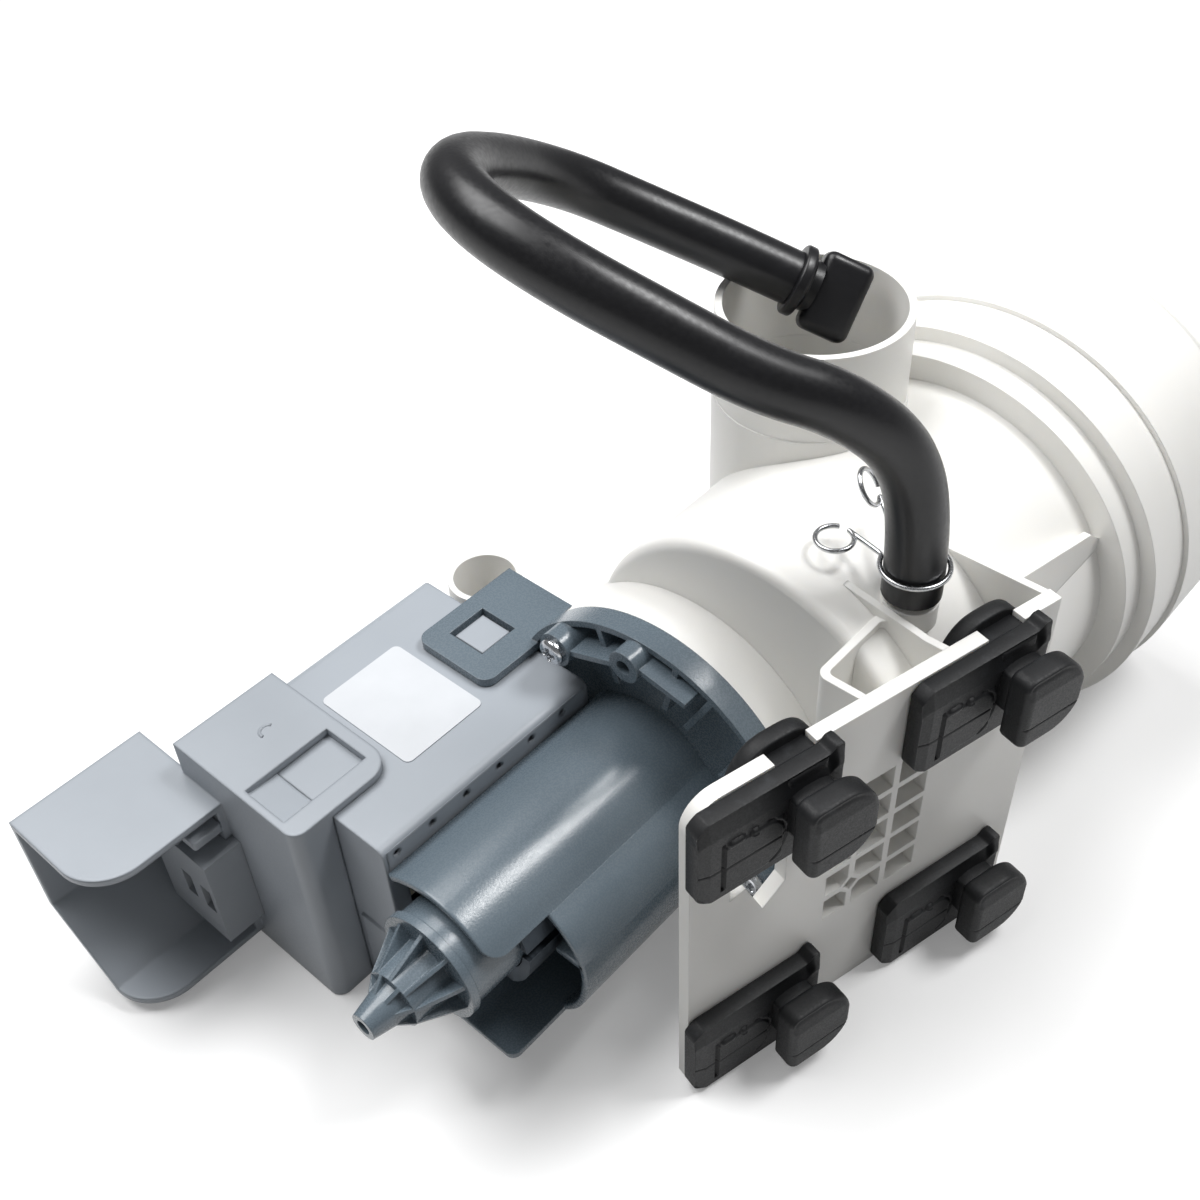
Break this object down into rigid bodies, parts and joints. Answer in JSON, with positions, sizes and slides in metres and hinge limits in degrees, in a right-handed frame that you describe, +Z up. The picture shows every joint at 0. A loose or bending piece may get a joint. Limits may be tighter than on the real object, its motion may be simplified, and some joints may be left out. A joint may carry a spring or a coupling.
{
  "type": "washer drain pump",
  "caption": "Washing machine drain pump with filter chamber, upright inlet port, synchronous motor, skewed mounting plate on rubber mounts and a vent hose.",
  "frame": {"origin": "centre of the inlet port's mouth", "axes": "+Z up along the inlet port, +X along the motor shaft from the plug hood to the filter cap, +Y towards the motor case, away from the mounting plate"},
  "size_m": [0.3392, 0.2107, 0.2268],
  "materials": {
    "white_pp": "satin moulded",
    "slate_pp": "gloss moulded",
    "grey_pp": "satin moulded",
    "socket_pa": "matt moulded",
    "black_rubber": "satin",
    "mount_rubber": "matt",
    "seal_rubber": "matt",
    "zinc_steel": "zinc plated",
    "spring_steel": "bright",
    "core_steel": "varnished laminations",
    "tin_brass": "tinned",
    "winding": "enamelled wire, taped",
    "bobbin_pa": "matt",
    "ferrite": "matt",
    "label_film": "satin film",
    "bush_bronze": "sintered",
    "black_pp": "satin",
    "filter_pp": "satin"
  },
  "bodies": {
    "base": {"pump_housing": "white_pp", "inlet_port": "white_pp", "mounting_plate": "white_pp", "plate_webs": "white_pp", "pump_collar": "white_pp", "discharge_pipe": "white_pp", "pump_cover": "slate_pp", "rotor_can": "slate_pp", "cover_shroud": "slate_pp", "cover_seal": "seal_rubber", "cover_screws": "zinc_steel", "motor_case": "grey_pp", "terminal_cover": "grey_pp", "terminal_block": "socket_pa", "terminal_blades": "tin_brass", "rating_label": "label_film", "stator_core": "core_steel", "coil_bobbins": "bobbin_pa", "coil_windings": "winding", "thermal_cutout": "black_pp", "front_bush": "bush_bronze", "rear_bush": "bush_bronze", "bearing_carrier": "black_pp", "rubber_mount_ul": "mount_rubber", "rubber_mount_ur": "mount_rubber", "rubber_mount_ll": "mount_rubber", "rubber_mount_lr": "mount_rubber", "vent_hose": "black_rubber", "hose_end_fitting": "black_rubber", "hose_clamp": "spring_steel"},
    "rotor": {"rotor_magnet": "ferrite", "rotor_shaft": "zinc_steel"},
    "impeller": {"impeller": "black_pp"},
    "filter": {"filter_cap": "white_pp", "filter_basket": "filter_pp", "cap_seal": "seal_rubber"}
  },
  "joints": [
    {"name": "rotor_spin", "type": "hinge", "parent": "base", "child": "rotor", "pos_m": [-0.14, -0.014, -0.1045], "axis": [1, 0, 0], "continuous": true},
    {"name": "impeller_play", "type": "hinge", "parent": "rotor", "child": "impeller", "pos_m": [-0.08, -0.014, -0.1045], "axis": [1, 0, 0], "range_deg": [0, 180]},
    {"name": "filter_turn", "type": "hinge", "parent": "base", "child": "filter", "pos_m": [0.09, -0.033, -0.0865], "axis": [1, 0, 0], "range_deg": [0, 60]}
  ]
}
